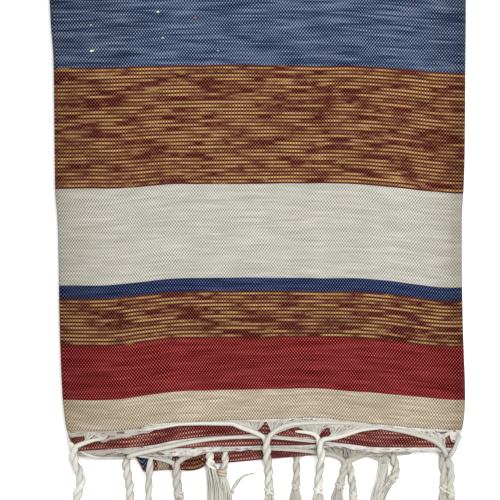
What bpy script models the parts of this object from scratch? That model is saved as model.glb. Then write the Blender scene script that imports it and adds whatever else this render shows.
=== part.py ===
"""Flat-woven cotton bath towel, doubled end to end and folded to a quarter of its width.

The towel lies on the ground plane z = 0. X runs across the fold, +Y runs from the fringe towards the
doubled end, and +Z points away from the ground. The origin is at the middle of the footprint.

The cloth is one sheet. Its section across the fold is a spiral of four panels, each with two layers:
the beige end of the cloth on the outside of every bend and the red end on the inside.
"""

from collections import namedtuple
from itertools import product
from math import cos, pi, radians, sin

import bmesh
import bpy
from mathutils import Vector

MM = 0.001
ROUNDING = 0.01

# Driving dimensions, in millimetres.
FOLDED_WIDTH = 258.6
FOLDED_LENGTH = 1000.0
CLOTH_THICKNESS = 1.0
LAYER_GAP = 0.5
HEADER_DEPTH = 4.3
FRINGE_REACH = 74.0
PART_GAP = 0.3
SELVEDGE_SETBACK = 3.0

LAYER_PITCH = CLOTH_THICKNESS + LAYER_GAP
HALF_PAIR = LAYER_PITCH / 2
PANEL_PITCH = 2 * LAYER_PITCH
TIGHT_RADIUS = PANEL_PITCH / 2
WIDE_RADIUS = 1.5 * PANEL_PITCH
PAIR_REACH = HALF_PAIR + CLOTH_THICKNESS / 2

TIGHT_STEPS = 6
WIDE_STEPS = 8
END_FOLD_STEPS = 5

LEFT_BEND_X = -FOLDED_WIDTH / 2 + TIGHT_RADIUS + PAIR_REACH
RIGHT_BEND_X = FOLDED_WIDTH / 2 - WIDE_RADIUS - PAIR_REACH

HEM_Y = -(FOLDED_LENGTH - FRINGE_REACH) / 2
END_FOLD_Y = HEM_Y + FOLDED_LENGTH - PAIR_REACH

# Height of each panel's middle, counted up from the ground: rear, inner rear, inner front, front.
PANEL_Z = {
    "rear": PAIR_REACH,
    "inner_rear": PAIR_REACH + PANEL_PITCH,
    "inner_front": PAIR_REACH + 2 * PANEL_PITCH,
    "front": PAIR_REACH + 3 * PANEL_PITCH,
}

# Where each folded edge of the stack lies, a row for each place along the towel.
Side = namedtuple("Side", "above_hem left right")
SIDES = [
    Side(-90, -108.3, 117.5),
    Side(25, -120.6, 128.0),
    Side(62, -121.9, 127.1),
    Side(99, -122.5, 126.2),
    Side(123, -123.1, 126.2),
    Side(142, -124.6, 127.4),
    Side(222, -125.6, 128.6),
    Side(247, -127.4, 128.6),
    Side(300, -129.3, 129.3),
    Side(650, -129.3, 129.3),
    Side(1000, -129.3, 129.3),
]

# How far each hem hangs below the middle of the front hem, a row for each column of the mesh.
# "across" runs from 0 at the left bend to 1 at the right bend.
Drop = namedtuple("Drop", "across beige red")
PANEL_DROPS = {
    "front": [
        Drop(0.00, 6.8, 19.4),
        Drop(0.07, 6.8, 18.5),
        Drop(0.14, 6.0, 17.3),
        Drop(0.21, 3.5, 16.0),
        Drop(0.28, 1.2, 13.0),
        Drop(0.38, 0.4, 11.0),
        Drop(0.50, -0.3, 10.6),
        Drop(0.61, -1.6, 13.0),
        Drop(0.72, 1.1, 14.9),
        Drop(0.83, 4.3, 16.6),
        Drop(0.94, 6.5, 16.2),
        Drop(1.00, 7.0, 16.5),
    ],
    "inner_front": [
        Drop(0.00, 6.8, 19.4),
        Drop(0.10, 7.2, 18.6),
        Drop(0.20, 8.0, 18.0),
        Drop(0.28, 8.5, 17.2),
        Drop(0.38, 9.0, 16.6),
        Drop(0.50, 9.0, 16.1),
        Drop(0.61, 9.0, 13.8),
        Drop(0.75, 8.5, 13.0),
        Drop(0.90, 8.0, 14.0),
        Drop(1.00, 8.0, 14.0),
    ],
    "inner_rear": [
        Drop(0.00, 12.0, 14.0),
        Drop(0.10, 12.0, 16.8),
        Drop(0.17, 11.8, 19.0),
        Drop(0.20, 11.5, 27.4),
        Drop(0.32, 11.0, 26.6),
        Drop(0.36, 10.8, 22.0),
        Drop(0.50, 10.5, 20.1),
        Drop(0.60, 10.0, 17.0),
        Drop(0.66, 9.8, 14.5),
        Drop(0.80, 9.0, 13.0),
        Drop(1.00, 8.0, 12.0),
    ],
    "rear": [
        Drop(0.00, 12.0, 14.0),
        Drop(0.20, 12.0, 14.0),
        Drop(0.40, 11.0, 15.0),
        Drop(0.58, 10.0, 18.5),
        Drop(0.66, 9.7, 20.4),
        Drop(0.80, 9.0, 21.0),
        Drop(0.90, 8.0, 18.2),
        Drop(1.00, 7.0, 16.5),
    ],
}

# The twisted cords of each fringe. Widths are real places across the towel, and "below" is measured
# from the middle of the front hem. "leg_left" and "leg_right" are how far the gathered yarns reach
# along the header, and "gather" is how far the root hangs below the header.
Cord = namedtuple("Cord", "panel root leg_left leg_right gather middle tip knot_below tip_below size tassel")
CORDS = {
    "beige": [
        Cord("front", -111.6, 2.35, 14, 5.6, -107.7, -112.0, 56, 74, 5.3, 7.0),
        Cord("front", 5.9, 64, 19, 6.8, 6.5, 7.4, 42, 70, 5.3, 8.0),
        Cord("front", 37.9, 9, 38, 9.5, 39.2, 39.2, 41, 68, 5.3, 8.0),
        Cord("front", 116.7, 46, 2.35, 11.0, 121.0, 122.4, 43, 68, 5.0, 5.2),
        Cord("inner_front", -28.8, 8, 3.6, 3.0, -28.7, -29.0, 36, 68, 4.2, 5.0),
        Cord("inner_front", -20.0, 3.6, 10, 3.0, -20.3, -19.3, 34, 66, 4.6, 8.0),
        Cord("rear", -66.3, 12, 12, 2.0, -66.3, -66.3, 57, 72, 4.3, 6.0),
        Cord("rear", 74.0, 12, 4, 4.0, 74.0, 72.6, 35, 66, 4.3, 6.0),
    ],
    "red": [
        Cord("front", -79.6, 26, 6, 2.6, -78.0, -77.4, 57, 73, 5.3, 6.0),
        Cord("inner_front", -51.0, 22, 2.9, 5.0, -50.4, -50.4, 56, 72, 4.3, 4.6),
        Cord("inner_front", -45.0, 2.9, 22, 5.0, -44.4, -44.8, 58, 73, 4.3, 4.6),
        Cord("inner_front", 109.0, 8, 3.6, 3.0, 112.0, 115.4, 43, 66, 4.4, 5.0),
        Cord("front", 52.0, 10, 3.4, 6.0, 51.6, 51.0, 39, 64, 4.8, 5.4),
        Cord("front", 59.0, 3.4, 14, 6.0, 59.6, 61.4, 41, 65, 4.8, 5.4),
        Cord("rear", 25.0, 12, 12, 2.0, 25.0, 24.8, 41, 67, 4.3, 6.0),
        Cord("rear", 83.0, 4, 12, 2.0, 83.0, 81.0, 34, 63, 4.3, 6.0),
    ],
}

# The gathered yarns of a root. The widths in the cord tables are taken ROOT_LEVEL below the hem.
ROOT_LEVEL = 15.0
ROOT_WIDTH = 4.6
COLUMN_CLEARANCE = ROOT_WIDTH / 2 + 0.1
THINNEST_GATHER = 0.6
GATHER_CURVE = 1.6
HOLE_HALF_WIDTH = 6.0
HOLE_SHARE = 0.45
LEG_PAST_HOLE = 1.0

# The cords' sections. Swell, neck and rise are shares of the cord's size.
SECTION_STEP = 5.0
SIDE_CLEARANCE = 1.0
OPEN_ABOVE = 100.0
SWELL_PER_MM = 0.32
STEEPEST_DESCENT = 1.0
KNOT_HALF_LENGTH = 3.0
KNOT_SWELL = 1.35
KNOT_RISE = 1.15
NECK = 0.95
TASSEL_HEIGHT = 0.75

Station = namedtuple("Station", "panel x z normal_x normal_z beige red")


def mix(low, high, share):
    """Return the value at a share of the way from low to high."""
    return low + (high - low) * share


def look_up(rows, key, value_name, place):
    """Return a column's value at a place, straight between the rows of a table."""
    lower = rows[0]
    for upper in rows[1:]:
        if place <= getattr(upper, key):
            break
        lower = upper
    span = getattr(upper, key) - getattr(lower, key)
    share = (place - getattr(lower, key)) / span if span else 0.0
    share = min(max(share, 0.0), 1.0)
    return mix(getattr(lower, value_name), getattr(upper, value_name), share)


def side_edges(y):
    """Return the real left and right edges of the stack at a place along the towel."""
    above_hem = y - HEM_Y
    return (
        look_up(SIDES, "above_hem", "left", above_hem),
        look_up(SIDES, "above_hem", "right", above_hem),
    )


def fitted_x(x, y):
    """Move a place of the even section to the real, slightly tapered outline."""
    left, right = side_edges(y)
    return mix(left, right, x / FOLDED_WIDTH + 0.5)


def even_x(x, y):
    """Move a real place back to the even section."""
    left, right = side_edges(y)
    return ((x - left) / (right - left) - 0.5) * FOLDED_WIDTH


def across_share(x):
    """Return how far a place of the even section lies between the two bends."""
    return (x - LEFT_BEND_X) / (RIGHT_BEND_X - LEFT_BEND_X)


def drop_at(panel, end, x):
    """Return how far one end's hem hangs below the front hem at a place on a panel."""
    return look_up(PANEL_DROPS[panel], "across", end, across_share(x))


def panel_stations(panel, faces_up, extra_x):
    """Return a panel's stations from left to right."""
    places = [mix(LEFT_BEND_X, RIGHT_BEND_X, row.across) for row in PANEL_DROPS[panel]]
    if panel in ("inner_front", "inner_rear"):
        places[-1] -= SELVEDGE_SETBACK
    inner = [x for x in places[1:-1] if all(abs(x - other) > COLUMN_CLEARANCE for other in extra_x)]
    places = sorted({places[0], *inner, *extra_x, places[-1]})
    normal_z = 1.0 if faces_up else -1.0
    stations = []
    for x in places:
        beige = drop_at(panel, "beige", x)
        red = drop_at(panel, "red", x)
        stations.append(Station(panel, x, PANEL_Z[panel], 0.0, normal_z, beige, red))
    return stations


def bend_stations(center_x, start, end, steps):
    """Return the stations of the bend between two panels, turning clockwise about its centre."""
    middle = (start.z + end.z) / 2
    radius = abs(start.z - end.z) / 2
    first_angle = radians(90 if start.z > end.z else 270)
    stations = []
    for step in range(1, steps):
        share = step / steps
        angle = first_angle - pi * share
        x = center_x + radius * cos(angle)
        z = middle + radius * sin(angle)
        beige = mix(start.beige, end.beige, share)
        red = mix(start.red, end.red, share)
        stations.append(Station(None, x, z, cos(angle), sin(angle), beige, red))
    return stations


def spiral_stations(extra_x):
    """Return every station of the folded section, from the front selvedge to the rear one."""
    inner_front = panel_stations("inner_front", False, extra_x["inner_front"])[::-1]
    front = panel_stations("front", True, extra_x["front"])
    rear = panel_stations("rear", False, extra_x["rear"])[::-1]
    inner_rear = panel_stations("inner_rear", True, extra_x["inner_rear"])
    upper_left = bend_stations(LEFT_BEND_X, inner_front[-1], front[0], TIGHT_STEPS)
    right = bend_stations(RIGHT_BEND_X, front[-1], rear[0], WIDE_STEPS)
    lower_left = bend_stations(LEFT_BEND_X, rear[-1], inner_rear[0], TIGHT_STEPS)
    return inner_front + upper_left + front + right + rear + lower_left + inner_rear


def place(station, off_middle, y):
    """Return a point that lies off the doubled sheet's middle line, in metres."""
    x = station.x + off_middle * station.normal_x
    z = station.z + off_middle * station.normal_z
    return Vector((fitted_x(x, y), y, z)) * MM


def add_plate(mesh, point, cells):
    """Add a closed plate of grid cells and return its rim faces by grid edge.

    point(column, row, side) gives the place of a grid corner on the outer side (+1) or the inner
    side (-1). A rim face closes every grid edge that only one cell uses.
    """
    corners = {}

    def corner(column, row, side):
        key = (column, row, side)
        if key not in corners:
            corners[key] = mesh.verts.new(point(column, row, side))
        return corners[key]

    edge_uses = {}
    for column, row in cells:
        ring = [(column, row), (column + 1, row), (column + 1, row + 1), (column, row + 1)]
        mesh.faces.new([corner(c, r, 1) for c, r in ring])
        mesh.faces.new([corner(c, r, -1) for c, r in reversed(ring)])
        for start, end in zip(ring, ring[1:] + ring[:1]):
            edge_uses.setdefault(frozenset((start, end)), []).append((start, end))
    rims = {}
    for key, uses in edge_uses.items():
        if len(uses) == 1:
            start, end = uses[0]
            rims[key] = mesh.faces.new(
                [corner(*start, -1), corner(*end, -1), corner(*end, 1), corner(*start, 1)]
            )
    return rims


def cloth_rows():
    """Return the cloth's rows, from the beige hem round the end fold to the red hem.

    A row is the end that it belongs to, its place along the towel and its turn round the end fold
    in radians. The place is None at a hem, where it depends on the column.
    """
    straight = [HEM_Y + side.above_hem for side in SIDES[1:-1]]
    beige = [("beige", None, 0.0)] + [("beige", y, 0.0) for y in straight]
    fold = [("fold", END_FOLD_Y, pi * step / END_FOLD_STEPS) for step in range(END_FOLD_STEPS + 1)]
    red = [("red", y, pi) for y in reversed(straight)] + [("red", None, pi)]
    return beige + fold + red


def build_cloth():
    """Build the whole cloth as one folded solid."""
    stations = spiral_stations({panel: [] for panel in PANEL_Z})
    rows = cloth_rows()

    def point(column, row, side):
        station = stations[column]
        end, y, turn = rows[row]
        reach = HALF_PAIR + side * CLOTH_THICKNESS / 2
        if y is None:
            y = HEM_Y - getattr(station, end)
        return place(station, reach * cos(turn), y + reach * sin(turn))

    mesh = bmesh.new()
    cells = [(c, r) for c in range(len(stations) - 1) for r in range(len(rows) - 1)]
    add_plate(mesh, point, cells)
    finish_object("cloth", mesh, "cotton_cloth")


def gather_depth(cords, panel, x):
    """Return how far the gathered yarns hang below the header at a place on a panel."""
    depth = 0.0
    for cord in cords:
        if cord.panel != panel:
            continue
        offset = x - root_x(cord)
        reach = cord.leg_left if offset < 0 else cord.leg_right
        half = ROOT_WIDTH / 2
        if abs(offset) <= reach + ROUNDING:
            share = (reach - max(abs(offset), half)) / (reach - half)
            share = max(share, 0.0) ** GATHER_CURVE
            depth = max(depth, mix(THINNEST_GATHER, cord.gather, share))
    return depth


def root_x(cord):
    """Return a cord's root in the even section."""
    return even_x(cord.root, HEM_Y - ROOT_LEVEL)


def root_columns(cord):
    """Return the places on the strip that a cord's root and its gathered yarns need."""
    middle = root_x(cord)
    half = ROOT_WIDTH / 2
    places = [middle - half, middle + half]
    for direction, reach in ((-1, cord.leg_left), (1, cord.leg_right)):
        places.append(middle + direction * reach)
        if reach > HOLE_HALF_WIDTH + LEG_PAST_HOLE:
            places.append(middle + direction * HOLE_HALF_WIDTH)
    return places


def layer_height(panel, end):
    """Return the height of the middle of one end's layer on a panel."""
    outer_side_up = panel in ("front", "inner_rear")
    side = 1 if (end == "beige") == outer_side_up else -1
    return PANEL_Z[panel] + side * HALF_PAIR


def layer_reach(panel, end, x):
    """Return how far a layer and its gathered yarns reach below the front hem."""
    return drop_at(panel, end, x) + HEADER_DEPTH + gather_depth(CORDS[end], panel, x)


def free_space(cord, cord_end, x, below):
    """Return the lowest and highest a cord may lie, between the layers under it and over it."""
    own_height = layer_height(cord.panel, cord_end)
    clear = CLOTH_THICKNESS / 2 + PART_GAP
    spread = cord.size / 2 + SIDE_CLEARANCE
    lowest = 0.0
    highest = OPEN_ABOVE
    for panel, end in product(PANEL_Z, CORDS):
        places = [even_x(x + offset, HEM_Y - below) for offset in (-spread, 0, spread)]
        reach = max(layer_reach(panel, end, place_x) for place_x in places)
        height = layer_height(panel, end)
        if (panel, end) == (cord.panel, cord_end) or reach < below - SECTION_STEP:
            continue
        if height < own_height:
            lowest = max(lowest, height + clear)
        else:
            highest = min(highest, height - clear)
    return lowest, highest


def section_plan(cord, root_below):
    """Return how far below the hem each section lies and how wide it is for the cord's size."""
    knot_top = cord.knot_below - KNOT_HALF_LENGTH
    knot_foot = cord.knot_below + KNOT_HALF_LENGTH
    tassel = cord.tassel / cord.size
    count = max(2, round((knot_top - root_below) / SECTION_STEP))
    plan = [(mix(root_below, knot_top, (i + 1) / count), 1.0) for i in range(count)]
    plan.append((cord.knot_below, KNOT_SWELL))
    plan.append((knot_foot, NECK))
    plan.append((mix(knot_foot, cord.tip_below, 0.5), tassel))
    plan.append((cord.tip_below, tassel))
    return plan


def cord_x(cord, root_below, below):
    """Return a cord's place across the towel on its way from root to middle to tip."""
    root = fitted_x(root_x(cord), HEM_Y - root_below)
    middle_below = mix(root_below, cord.knot_below, 0.5)
    if below < middle_below:
        return mix(root, cord.middle, (below - root_below) / (middle_below - root_below))
    return mix(cord.middle, cord.tip, (below - middle_below) / (cord.tip_below - middle_below))


def cord_sections(cord, end, root_below):
    """Return a cord's sections as (x, below, width, bottom, height), from its root to its tip."""
    sections = []
    last_bottom = layer_height(cord.panel, end)
    last_below = root_below
    for below, swell in section_plan(cord, root_below):
        x = cord_x(cord, root_below, below)
        lowest, highest = free_space(cord, end, x, below)
        bottom = max(lowest, last_bottom - STEEPEST_DESCENT * (below - last_below))
        loose = below > cord.knot_below + KNOT_HALF_LENGTH
        full_height = cord.size * (TASSEL_HEIGHT if loose else min(swell, KNOT_RISE))
        height = min(full_height, CLOTH_THICKNESS + SWELL_PER_MM * (below - root_below))
        height = max(CLOTH_THICKNESS, min(height, highest - bottom))
        sections.append((x, below, cord.size * swell, bottom, height))
        last_bottom = bottom
        last_below = below
    return sections


def draw_out(mesh, face, sections):
    """Extrude a root face through a cord's sections and leave it closed at the tip."""
    for x, below, width, bottom, height in sections:
        face = bmesh.ops.extrude_discrete_faces(mesh, faces=[face])["faces"][0]
        middle_x = sum(v.co.x for v in face.verts) / 4
        middle_z = sum(v.co.z for v in face.verts) / 4
        for vert in face.verts:
            side = 1 if vert.co.x > middle_x else -1
            top = vert.co.z > middle_z
            z = bottom + (height if top else 0.0)
            vert.co = Vector((x + side * width / 2, HEM_Y - below, z)) * MM


def in_gather_hole(cords, start, end):
    """Tell whether a cell between two stations lies in the open triangle above a root."""
    middle = (start.x + end.x) / 2
    for cord in cords:
        shortest_leg = min(cord.leg_left, cord.leg_right)
        near = abs(middle - root_x(cord)) < HOLE_HALF_WIDTH
        if cord.panel == start.panel and near and shortest_leg > HOLE_HALF_WIDTH + LEG_PAST_HOLE:
            return True
    return False


def build_fringe(name, end, material_name):
    """Build one end's header strip with its twisted cords as one solid."""
    cords = CORDS[end]
    extra_x = {panel: [] for panel in PANEL_Z}
    for cord in cords:
        extra_x[cord.panel].extend(root_columns(cord))
    stations = spiral_stations(extra_x)
    depths = [gather_depth(cords, station.panel, station.x) for station in stations]
    outward = 1 if end == "beige" else -1

    def point(column, row, side):
        station = stations[column]
        depth = depths[column]
        below_cloth = (
            PART_GAP,
            HEADER_DEPTH,
            HEADER_DEPTH + depth * HOLE_SHARE,
            HEADER_DEPTH + depth,
        )
        reach = outward * (HALF_PAIR + side * CLOTH_THICKNESS / 2)
        return place(station, reach, HEM_Y - getattr(station, end) - below_cloth[row])

    cells = []
    columns_of_roots = {}
    for column, (start, following) in enumerate(zip(stations, stations[1:])):
        cells.append((column, 0))
        if depths[column] and depths[column + 1]:
            cells.append((column, 2))
            if not in_gather_hole(cords, start, following):
                cells.append((column, 1))
        for cord in cords:
            middle = (start.x + following.x) / 2
            if cord.panel == start.panel and abs(middle - root_x(cord)) < ROUNDING:
                columns_of_roots[cord] = column

    mesh = bmesh.new()
    rims = add_plate(mesh, point, cells)
    for cord, column in columns_of_roots.items():
        face = rims[frozenset(((column, 3), (column + 1, 3)))]
        root_below = drop_at(cord.panel, end, root_x(cord)) + HEADER_DEPTH + depths[column]
        draw_out(mesh, face, cord_sections(cord, end, root_below))
    finish_object(name, mesh, material_name)


MATERIALS = {
    # name: base colour, roughness
    "cotton_cloth": ((0.55, 0.45, 0.36, 1.0), 0.9),
    "white_cotton_yarn": ((0.66, 0.64, 0.56, 1.0), 0.9),
    "ecru_cotton_yarn": ((0.58, 0.56, 0.5, 1.0), 0.9),
}


def cotton_material(name):
    """Make one of the cotton materials."""
    color, roughness = MATERIALS[name]
    material = bpy.data.materials.new(name)
    material.use_nodes = True
    shader = material.node_tree.nodes["Principled BSDF"]
    shader.inputs["Base Color"].default_value = color
    shader.inputs["Roughness"].default_value = roughness
    shader.inputs["Metallic"].default_value = 0.0
    material.diffuse_color = color
    return material


def finish_object(name, mesh, material_name):
    """Turn a finished bmesh into a named object with its material."""
    bmesh.ops.recalc_face_normals(mesh, faces=mesh.faces)
    data = bpy.data.meshes.new(name)
    mesh.to_mesh(data)
    mesh.free()
    data.materials.append(cotton_material(material_name))
    bpy.context.scene.collection.objects.link(bpy.data.objects.new(name, data))


def main():
    """Clear the scene and build the towel."""
    for obj in list(bpy.data.objects):
        bpy.data.objects.remove(obj, do_unlink=True)
    build_cloth()
    build_fringe("fringe_beige_end", "beige", "white_cotton_yarn")
    build_fringe("fringe_red_end", "red", "ecru_cotton_yarn")


main()
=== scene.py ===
import random
from bisect import bisect_right
from functools import partial
from math import ceil, cos, exp, hypot, pi, sin

import bpy
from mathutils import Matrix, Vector


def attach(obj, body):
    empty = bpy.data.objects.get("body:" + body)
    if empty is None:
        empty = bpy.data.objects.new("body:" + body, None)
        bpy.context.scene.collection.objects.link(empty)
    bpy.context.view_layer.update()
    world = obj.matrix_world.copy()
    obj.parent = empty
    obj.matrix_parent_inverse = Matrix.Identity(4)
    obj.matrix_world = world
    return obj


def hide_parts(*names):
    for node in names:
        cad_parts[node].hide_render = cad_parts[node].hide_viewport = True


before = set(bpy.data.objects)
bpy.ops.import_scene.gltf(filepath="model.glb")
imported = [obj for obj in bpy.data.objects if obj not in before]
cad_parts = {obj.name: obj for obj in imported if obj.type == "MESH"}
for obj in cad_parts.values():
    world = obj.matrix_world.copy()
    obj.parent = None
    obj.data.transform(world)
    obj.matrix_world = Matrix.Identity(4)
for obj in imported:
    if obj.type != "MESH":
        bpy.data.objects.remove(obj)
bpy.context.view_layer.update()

mm = 0.001
print("frame loaded:", len(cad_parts), "nodes")


# Small helpers.

def mixed(low, high, share):
    return low + (high - low) * share


def smoothShare(low, high, value):  # 0 below low, 1 above high, an S-curve between
    share = min(max((value - low) / (high - low), 0.0), 1.0)
    return share * share * (3 - 2 * share)


def curveThrough(rows, column):  # a smooth line through a table's rows that never overshoots them
    places = [row[0] for row in rows]
    values = [row[column] for row in rows]
    slopes = [(values[i + 1] - values[i]) / (places[i + 1] - places[i]) for i in range(len(rows) - 1)]
    bends = [slopes[0]]
    for before, after in zip(slopes, slopes[1:]):
        bends.append(0.0 if before * after <= 0 else 2 * before * after / (before + after))
    bends.append(slopes[-1])

    def at(place):
        place = min(max(place, places[0]), places[-1])
        i = min(max(bisect_right(places, place) - 1, 0), len(slopes) - 1)
        span = places[i + 1] - places[i]
        t = (place - places[i]) / span
        rise = t * t * (3 - 2 * t)
        pull = span * (bends[i] * t * (1 - t) ** 2 - bends[i + 1] * t * t * (1 - t))
        return values[i] + (values[i + 1] - values[i]) * rise + pull

    return at


def linearColor(hexColor):  # sRGB hex to the linear colour that a socket takes
    channels = [int(hexColor[i:i + 2], 16) / 255 for i in (1, 3, 5)]
    return tuple(c / 12.92 if c <= 0.04045 else ((c + 0.055) / 1.055) ** 2.4 for c in channels) + (1.0,)


def addNode(tree, kind, inputs=(), operation=None, **settings):
    # inputs by place or by name: values, sockets or nodes
    made = tree.nodes.new("ShaderNode" + kind)
    if operation:
        made.operation = operation
    for name, value in settings.items():
        setattr(made, name, value)
    inUse = [socket for socket in made.inputs if socket.enabled]
    for key, value in inputs.items() if isinstance(inputs, dict) else enumerate(inputs):
        socket = inUse[key] if isinstance(key, int) else made.inputs[key]
        if isinstance(value, bpy.types.Node):
            value = next(output for output in value.outputs if output.enabled)
        if isinstance(value, bpy.types.NodeSocket):
            tree.links.new(value, socket)
        else:
            socket.default_value = value
    return made


def newMaterial(name):
    material = bpy.data.materials.new(name)
    material.use_nodes = True
    material.node_tree.nodes.clear()
    return material, material.node_tree


# How the towel is folded.
# Everything below is in millimetres until a mesh is made. "below" is measured from the middle of the
# front hem towards the fringe, "share" across a panel from its left bend to its right one.

towel = dict(
    foldedWidth=258.6,
    foldedLength=1000.0,
    fringeReach=74.0,
    layerPitch=1.5,
    solidThickness=1.0,      # a layer of the CAD solid
    clothThickness=0.8,      # the sheet that takes its place
    selvedgeSetback=3.0,
    endFoldSteps=7,
    bendSteps=dict(tight=7, wide=12),
    panelStep=dict(front=2.5, innerFront=5.0, innerRear=2.5, rear=8.0),
    # A broad wave in the hems: how low it is at each fold, and the shares it fades between.
    broadWave=((6.8, 0.10, 0.33), (7.0, 0.70, 1.05)),
    waveReach=(280, 1150),   # mm of cloth over which it dies away, in the left half and in the right one
    dropFade=(30, 150),      # the same for a hem's own drop: the front's beige hem, the others
    levelFrom=700,           # mm from a hem where nothing is left of either
    nearHem=[0, 1.2, 2.6, 4.5, 7, 10],   # rows of points: mm from a hem, then runs of start, step, count
    rowRuns=dict(beige=[(10, 4, 65), (274, 10, 13), (404, 33, 17)], red=[(10, 6, 7), (52, 24, 38)]),
    foldMargin=12,
)
halfPair = towel["layerPitch"] / 2
panelPitch = 2 * towel["layerPitch"]
pairReach = halfPair + towel["solidThickness"] / 2
tightRadius = panelPitch / 2
wideRadius = 1.5 * panelPitch
leftBendX = -towel["foldedWidth"] / 2 + tightRadius + pairReach
rightBendX = towel["foldedWidth"] / 2 - wideRadius - pairReach
hemY = -(towel["foldedLength"] - towel["fringeReach"]) / 2
endFoldY = hemY + towel["foldedLength"] - pairReach
straightLength = endFoldY - hemY
clothLength = 2 * straightLength + pi * halfPair
panels = ("rear", "innerRear", "innerFront", "front")   # from the floor up
panelZ = {panel: pairReach + place * panelPitch for place, panel in enumerate(panels)}

# The folded edges of the stack: distance above the hem, left edge, right edge.
sideEdges = [
    (-90, -108.3, 118.5), (-20, -115.2, 124.2), (-10, -116.6, 126.6), (0, -118.5, 128.6),
    (12, -119.8, 129.4), (25, -120.6, 129.2), (40, -121.2, 128.6), (62, -121.9, 127.9),
    (99, -122.5, 127.4), (123, -123.1, 127.4), (142, -124.6, 128.4), (163, -124.9, 129.1),
    (222, -125.6, 129.6), (247, -127.4, 129.8), (300, -129.3, 130.0), (1000, -129.3, 130.0),
]
leftEdge = curveThrough(sideEdges, 1)
rightEdge = curveThrough(sideEdges, 2)

# How far each hem hangs below the middle of the front hem: share, beige end, red end.
hemDrops = dict(
    front=[(0, 6.8, 19.4), (0.07, 6.8, 18.5), (0.14, 6, 17.3), (0.21, 3.5, 15.6), (0.28, 1.2, 12.3),
        (0.38, 0.4, 10.1), (0.5, -0.3, 9), (0.56, -0.9, 10.2), (0.61, -1.6, 11.4), (0.66, -1.2, 12.9),
        (0.72, 0.6, 14.7), (0.83, 3.2, 17), (0.94, 5.5, 17), (1, 6, 17.2)],
    innerFront=[(0, 6.8, 19.4), (0.1, 7.2, 18.7), (0.2, 8, 18.2), (0.27, 8.5, 17.7), (0.31, 8.7, 17.5),
        (0.36, 8.9, 16.8), (0.42, 9, 16.6), (0.5, 9, 16.1), (0.61, 9, 15.8), (0.66, 9, 15),
        (0.75, 8.5, 13), (0.9, 8, 14), (1, 8, 14)],
    innerRear=[(0, 12, 18.3), (0.1, 12, 20.5), (0.156, 11.8, 21.8), (0.166, 11.8, 24.6),
        (0.175, 11.8, 31), (0.186, 11.8, 33.2), (0.214, 11.6, 31.9), (0.25, 11.5, 31.5),
        (0.31, 11.2, 31.9), (0.335, 11, 30.6), (0.352, 11, 28.2), (0.38, 10.8, 27.3), (0.416, 10.7, 26.8),
        (0.506, 10.4, 24.9), (0.6, 10.1, 23.1), (0.646, 10, 21.5), (0.7, 9.7, 19.4), (0.8, 9, 17),
        (1, 8, 16)],
    rear=[(0, 12, 14), (0.2, 12, 14), (0.4, 11, 15), (0.58, 10, 18.5), (0.66, 9.7, 20.4), (0.8, 9, 21),
        (0.9, 8, 18.2), (1, 7, 16.5)],
)
hemCurve = {
    (panel, end): curveThrough(rows, column)
    for panel, rows in hemDrops.items() for end, column in (("beige", 1), ("red", 2))
}

# Soft creases: from x, y to x, y, how wide, and how much of its height the stack gains or loses there.
creases = [
    (-50, -250, -50, 160, 34, 0.035),
    (-112, -420, -96, 100, 16, -0.05),
    (8, -462, 26, -60, 30, -0.045),
    (70, -455, 56, 0, 24, 0.03),
    (112, -440, 116, 60, 15, -0.05),
    (-70, -330, 96, -300, 15, -0.028),
    (-110, -240, 60, -205, 17, 0.03),
    (-30, 60, 10, 420, 40, -0.05),
    (70, 120, 92, 500, 32, -0.04),
    (-90, 200, -84, 520, 26, 0.035),
]


def settle(x, y):  # how the soft creases scale the height of the stack
    lift = 1.0
    for x1, y1, x2, y2, width, rise in creases:
        along = ((x - x1) * (x2 - x1) + (y - y1) * (y2 - y1)) / ((x2 - x1) ** 2 + (y2 - y1) ** 2)
        along = min(max(along, 0.0), 1.0)
        away = hypot(x - mixed(x1, x2, along), y - mixed(y1, y2, along)) / width
        if away < 3:   # past three widths nothing is left of it
            lift += rise * exp(-away * away)
    return lift


def fittedX(x, y):  # from the even section to the slightly tapered outline
    return mixed(leftEdge(y - hemY), rightEdge(y - hemY), x / towel["foldedWidth"] + 0.5)


def evenX(x, y):
    left, right = leftEdge(y - hemY), rightEdge(y - hemY)
    return ((x - left) / (right - left) - 0.5) * towel["foldedWidth"]


def acrossShare(x):
    return (x - leftBendX) / (rightBendX - leftBendX)


def broadDrop(share):  # the hem's broad wave: low at both folds, high in the middle
    (left, leftFrom, leftTo), (right, rightFrom, rightTo) = towel["broadWave"]
    low = left * (1 - smoothShare(leftFrom, leftTo, share))
    return low + right * smoothShare(rightFrom, rightTo, share)


def dropAway(station, end, away):  # how much of a hem's drop the picks still show at a distance from it
    share = station["share"]
    reach = mixed(*towel["waveReach"], smoothShare(0.4, 0.6, share))
    own = (station[end] - broadDrop(share)) * exp(-away / station["fade"][end])
    level = smoothShare(towel["levelFrom"], straightLength, away)
    return (broadDrop(share) * max(0.0, 1 - away / reach) + own) * (1 - level)


def panelStations(panel, facesUp):
    last = rightBendX
    if panel in ("innerFront", "innerRear"):
        last -= towel["selvedgeSetback"]
    count = round((last - leftBendX) / towel["panelStep"][panel])
    fades = towel["dropFade"]
    stations = []
    for i in range(count + 1):
        x = mixed(leftBendX, last, i / count)
        share = acrossShare(x)
        stations.append(dict(
            panel=panel, x=x, z=panelZ[panel], normal=(0.0, 1.0 if facesUp else -1.0), share=share,
            beige=hemCurve[panel, "beige"](share), red=hemCurve[panel, "red"](share),
            fade=dict(beige=fades[0 if panel == "front" else 1], red=fades[1]),
        ))
    return stations


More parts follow.
